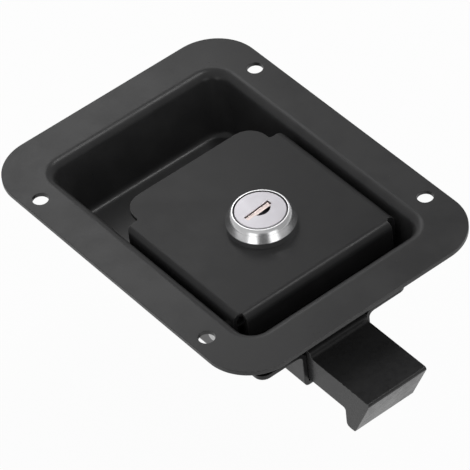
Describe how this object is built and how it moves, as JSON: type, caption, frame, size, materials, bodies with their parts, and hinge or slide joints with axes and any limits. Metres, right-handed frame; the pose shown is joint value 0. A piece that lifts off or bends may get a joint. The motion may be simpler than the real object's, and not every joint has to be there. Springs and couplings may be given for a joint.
{
  "type": "recessed latch",
  "caption": "Flush paddle latch: a lift-up keyed paddle in a stamped dish draws a spring-loaded hooked slide bolt that sticks out behind the dish.",
  "frame": {"origin": "centre of the flange, on its underside that lies on the panel", "axes": "+Z out of the dish's open face, -Y the way the bolt sticks out, X across along the hinge pin"},
  "size_m": [0.0828, 0.1203, 0.0418],
  "materials": {
    "black_coat": "satin black powder coat on steel sheet",
    "black_cast": "glossy black coat on a zinc casting",
    "bright_chrome": "polished",
    "satin_nickel": "fine turned face, satin nickel",
    "shutter_bronze": "dull pinkish bronze",
    "bare_steel": "zinc-plated steel"
  },
  "bodies": {
    "case": {"pan": "black_coat", "bolt_housing": "black_coat", "housing_rivet_1": "black_coat", "housing_rivet_2": "black_coat", "housing_rivet_3": "black_coat", "housing_rivet_4": "black_coat", "hinge_pin": "bare_steel", "pin_clip_left": "bare_steel", "pin_clip_right": "bare_steel", "bolt_spring_left": "bare_steel", "bolt_spring_right": "bare_steel"},
    "paddle": {"paddle": "black_coat", "trigger_lever": "bare_steel", "paddle_spring": "bare_steel", "lock_cylinder": "bright_chrome", "lock_washer": "bare_steel", "lock_nut": "bare_steel"},
    "bolt": {"slide_bolt": "black_cast"},
    "plug": {"lock_plug": "satin_nickel", "lock_cam": "bare_steel", "cam_washer": "bare_steel", "cam_screw": "bare_steel"},
    "shutter": {"key_shutter": "shutter_bronze"}
  },
  "joints": [
    {"name": "paddle_lift", "type": "hinge", "parent": "case", "child": "paddle", "pos_m": [0, -0.03, -0.0058], "axis": [1, 0, 0], "range_deg": [0, 25], "stiffness_Nm_per_rad": 0.3, "springref_deg": -28.65, "deforming": ["paddle_spring"]},
    {"name": "bolt_slide", "type": "slide", "parent": "case", "child": "bolt", "axis": [0, 1, 0], "range_m": [0, 0.0095], "stiffness_N_per_m": 400, "springref_m": -0.012, "deforming": ["bolt_spring_left", "bolt_spring_right"]},
    {"name": "plug_turn", "type": "hinge", "parent": "paddle", "child": "plug", "pos_m": [0, -0.01235, 0], "axis": [0, 0, 1], "range_deg": [0, 90]},
    {"name": "shutter_flap", "type": "hinge", "parent": "plug", "child": "shutter", "pos_m": [-0.00065, -0.0115, 0.00473], "axis": [0.9962, 0.0872, 0], "range_deg": [0, 75], "stiffness_Nm_per_rad": 0.0001, "springref_deg": -17.19}
  ],
  "couplings": [
    {"joint": "bolt_slide", "follows": "paddle_lift", "m_per_rad": 0.0217}
  ]
}
